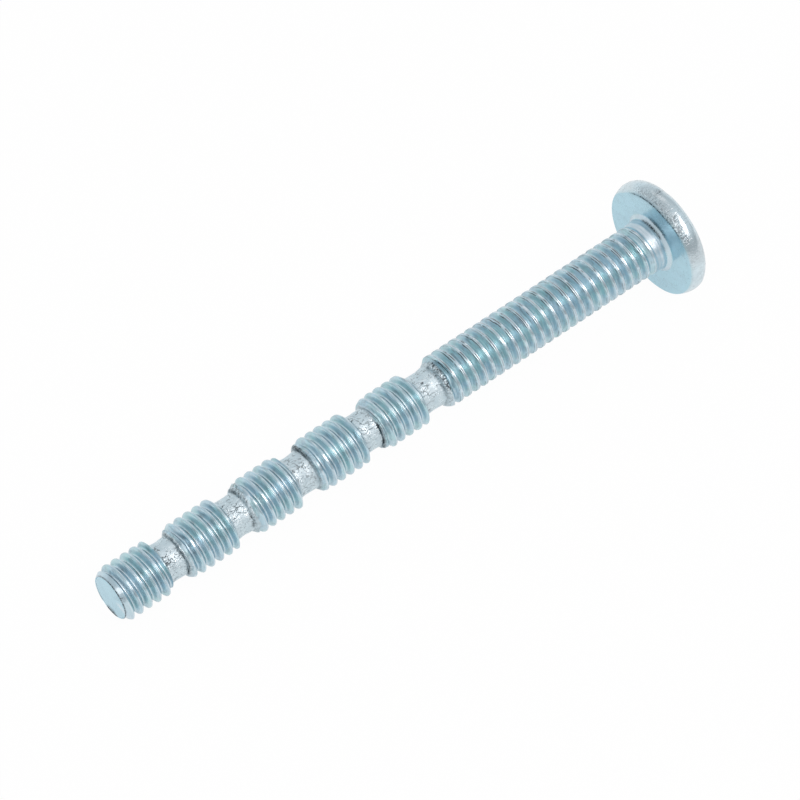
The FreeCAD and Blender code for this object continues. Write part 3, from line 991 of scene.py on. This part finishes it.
def zinc_material(name, finish, effects, rough_skin):
    """The plating: smooth on the thread and underside, or the rough skin of the necks and the head."""
    grain, cracks, lap_shade_group = effects
    material = bpy.data.materials.new(name)
    material.use_nodes = True
    wires = Wiring(material.node_tree)
    shader = wires.tree.nodes["Principled BSDF"].inputs
    shader["Metallic"].default_value = 1.0
    if rough_skin:
        fine = wires.effect(grain, Scale=11500.0, Stretch=0.75)
    else:
        fine = wires.effect(grain, Scale=5200.0, Stretch=1.0)
    dark = dark_marks(wires, wires.effect(cracks, Scale=4400.0, Width=0.068, Stretch=0.58))
    if not rough_skin:
        dark = wires.larger(dark, lap_shade_marks(wires, fine, lap_shade_group))
    wires.feed(plating_colour(wires, finish, fine, dark), shader["Base Color"])

    graininess = wires.share("grain_share")
    unevenness = wires.minus(1.0, wires.times(wires.share("flat_share"), 0.85))
    added = wires.times(wires.minus(graininess, 0.45), 0.12, wires.share("rough_share"))
    flank = wires.times(wires.share("flank_share"), 0.20)
    level = wires.plus(added, finish.roughness, wires.times(fine["Dull"], 0.08), flank)
    wires.feed(wires.plus(level, wires.times(dark, 0.25), clamp=True), shader["Roughness"])

    strength = wires.plus(wires.times(graininess, 0.90), 0.02 if rough_skin else 0.30)
    height = wires.times(fine["Height"], wires.times(strength, unevenness))
    creases = wires.times(fine["Wrinkles"], wires.share("wrinkle_share"), 3.0)
    height = wires.plus(wires.minus(height, wires.times(dark, 0.35)), creases)
    relief = (0.060 if rough_skin else 0.010) * MM
    bump = wires.place("ShaderNodeBump")
    bump = wires.feed_all(bump, {"Strength": 0.90, "Distance": relief, "Height": height})
    wires.feed(bump["Normal"], shader["Normal"])
    return material


def paint_screw(mesh, smooth, rough):
    """Smooth plating for the thread, collar, tip and underside, rough skin for the necks and the head."""
    mesh.materials.append(smooth)
    mesh.materials.append(rough)
    shares = np.empty(len(mesh.vertices), np.float32)
    mesh.attributes["rough_share"].data.foreach_get("value", shares)
    for face in mesh.polygons:
        face.material_index = int(np.mean([shares[v] for v in face.vertices]) > 0.5)


def camera_axes(studio):
    """Right, up and back of the camera as columns, from how the screw lies in the picture."""
    lean, slant, high = studio.lean, studio.slant, studio.camera_height
    screw = np.array([math.cos(lean) * math.cos(slant), math.cos(lean) * math.sin(slant), -math.sin(lean)])
    rise = np.array([0.0, math.cos(high), math.sin(high)])
    level = screw - (screw @ rise) * rise
    level /= np.linalg.norm(level)
    return np.array([level, np.cross(rise, level), rise])


def bare_wiring(owner):
    """The emptied nodes of a material or a world."""
    owner.use_nodes = True
    owner.node_tree.nodes.clear()
    return Wiring(owner.node_tree)


class SCREW_OT_build_screw(bpy.types.Operator):
    """Builds the whole screw as one piece: pan head with its recess, rolled thread and break-off necks"""
    bl_idname = "screw.build_screw"
    bl_label = "Build the screw"

    def execute(self, context):
        screw, finish = Screw(context.scene.screw_sizes), context.scene.screw_finish
        head = cut(lay_head(screw), recess_core(screw))
        for quarter in (0, 1):
            head = cut(head, recess_wing(screw, quarter))
        mesh = join_screw(screw, lay_shank(screw), head)
        mark_surface(screw, mesh)
        effects = grain_effect(), crack_effect(), lap_shade_effect()
        smooth = zinc_material("zinc_plate", finish, effects, False)
        rough = zinc_material("zinc_rough_skin", finish, effects, True)
        paint_screw(mesh, smooth, rough)
        piece = add_object("zinc_screw", mesh)
        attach(piece, "root")
        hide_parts("screw")
        return {"FINISHED"}


class SCREW_OT_build_studio(bpy.types.Operator):
    """Sets the white floor, the soft light and the camera"""
    bl_idname = "screw.build_studio"
    bl_label = "Build the studio"

    def execute(self, context):
        studio = context.scene.screw_studio
        screw = Screw(context.scene.screw_sizes)
        axes = camera_axes(studio)
        facing = axes @ np.array([0.0, 0.0, 1.0])
        facing = facing - (facing @ screw.to_head) * screw.to_head
        facing = facing / np.linalg.norm(facing)
        down = np.cross(facing, screw.to_head)
        down = down if down[2] < 0 else -down
        self.lay_floor()
        self.set_world(context, facing, down, screw.to_head, studio)
        self.hang_lamps(facing, down, screw.to_head, studio)
        self.set_camera(context, screw, axes, studio)
        context.scene.view_settings.view_transform = "Standard"
        return {"FINISHED"}

    def lay_floor(self):
        """A pale floor that the camera sees as white, with the screw's shadow on it."""
        mesh = bpy.data.meshes.new("floor")
        corners = [(x * FLOOR_REACH, y * FLOOR_REACH, 0) for x, y in ((-1, -1), (1, -1), (1, 1), (-1, 1))]
        mesh.from_pydata(corners, [], [(0, 1, 2, 3)])
        floor = add_object("floor", mesh)
        material = bpy.data.materials.new("white_floor")
        wires = bare_wiring(material)
        plain, white = wires.place("ShaderNodeBsdfDiffuse"), wires.place("ShaderNodeEmission")
        plain.inputs["Color"].default_value = (0.86, 0.86, 0.86, 1.0)
        white.inputs["Color"].default_value = WHITE
        ray = wires.place("ShaderNodeLightPath").outputs
        share = wires.larger(wires.times(ray["Is Camera Ray"], 0.97), wires.times(ray["Is Glossy Ray"], 0.71))
        wires.show(share, plain, white, "ShaderNodeOutputMaterial")
        mesh.materials.append(material)

    def set_world(self, context, facing, down, to_head, studio):
        """A pale room, darker low in front and overhead, with a glow where the strip light hangs."""
        world = bpy.data.worlds.new("studio")
        wires = bare_wiring(world)
        way = wires.place("ShaderNodeTexCoord").outputs["Generated"]
        sideways, ahead, headwards = (
            wires.vector("DOT_PRODUCT", way, tuple(axis), "Value") for axis in (down, facing, to_head))
        turn = wires.math("ARCTAN2", sideways, ahead)

        def between(low, high, *levels):
            return wires.spread(turn, math.radians(low), math.radians(high), *levels)

        front = wires.times(between(30, 45), between(55, 90, 1.0, 0.0))
        overhead = between(-125, -75, 1.0, studio.overhead)
        glow = wires.times(between(-60, -15), between(12, 40, 1.0, 0.0), studio.glow)
        glow = wires.times(glow, wires.spread(headwards, -0.75, -0.25))
        level = wires.plus(wires.minus(1.0, wires.times(front, studio.dark_front)), glow)
        room, white = wires.place("ShaderNodeBackground"), wires.place("ShaderNodeBackground")
        room.inputs["Color"].default_value = (0.93, 0.97, 1.0, 1.0)
        white.inputs["Color"].default_value = WHITE
        wires.feed(wires.times(overhead, level, studio.room), room.inputs["Strength"])
        seen = wires.place("ShaderNodeLightPath").outputs["Is Camera Ray"]
        wires.show(seen, room, white, "ShaderNodeOutputWorld")
        context.scene.world = world

    def hang_lamps(self, facing, down, to_head, studio):
        """Soft boxes by their turn about the screw, their lean to its head, their size and brightness."""
        lamps = (
            ("strip_light", 4.0, 16.0, (0.24, 0.28), studio.strip),
            ("tip_light", -6.0, -42.0, (0.38, 0.24), studio.tip_light),
            ("top_box", -62.0, 10.0, (0.50, 0.30), studio.top),
        )
        for name, turn, lean, size, brightness in lamps:
            turn, lean = math.radians(turn), math.radians(lean)
            towards = math.cos(lean) * (math.cos(turn) * facing + math.sin(turn) * down)
            back = Vector(towards + math.sin(lean) * to_head)
            along = (Vector(to_head) - back * back.dot(Vector(to_head))).normalized()
            data = bpy.data.lights.new(name, "AREA")
            data.shape = "RECTANGLE"
            data.color = LAMP_COLOUR
            data.size, data.size_y = size
            data.energy = brightness * math.pi * size[0] * size[1]
            lamp = add_object(name, data)
            matrix = Matrix((along, back.cross(along), back)).transposed().to_4x4()
            matrix.translation = back * studio.lamp_distance
            lamp.matrix_world = matrix

    def set_camera(self, context, screw, axes, studio):
        data = bpy.data.cameras.new("camera")
        data.sensor_width = 36.0
        data.lens = studio.lens
        data.clip_start, data.clip_end = 0.01, 20.0
        aim = screw.point(AIM_PLACE, 0.0, 0.0)
        seen = np.array([AIM_RIGHT * MM, AIM_UP * MM, -studio.distance])
        camera = add_object("camera", data)
        matrix = Matrix([list(row) for row in axes]).to_4x4()
        matrix.translation = Vector(aim - axes @ seen)
        camera.matrix_world = matrix
        context.scene.camera = camera


class SCREW_PT_panel(bpy.types.Panel):
    """Lists the screw's steps"""
    bl_idname = "SCREW_PT_panel"
    bl_label = "Break-off screw"
    bl_space_type = "VIEW_3D"
    bl_region_type = "UI"
    bl_category = "Screw"

    def draw(self, context):
        layout = self.layout
        for group in (context.scene.screw_sizes, context.scene.screw_finish, context.scene.screw_studio):
            box = layout.box()
            for name in group.__annotations__:
                box.prop(group, name)
        for operator in (SCREW_OT_build_screw, SCREW_OT_build_studio):
            layout.operator(operator.bl_idname)


CLASSES = (
    ScrewSizes, ZincFinish, StudioSettings, SCREW_OT_build_screw, SCREW_OT_build_studio, SCREW_PT_panel,
)


def register():
    for item in CLASSES:
        bpy.utils.register_class(item)
    bpy.types.Scene.screw_sizes = PointerProperty(type=ScrewSizes)
    bpy.types.Scene.screw_finish = PointerProperty(type=ZincFinish)
    bpy.types.Scene.screw_studio = PointerProperty(type=StudioSettings)


def unregister():
    del bpy.types.Scene.screw_sizes
    del bpy.types.Scene.screw_finish
    del bpy.types.Scene.screw_studio
    for item in reversed(CLASSES):
        bpy.utils.unregister_class(item)


def main():
    register()
    bpy.ops.screw.build_screw()
    bpy.ops.screw.build_studio()
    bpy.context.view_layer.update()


if __name__ == "__main__":
    main()
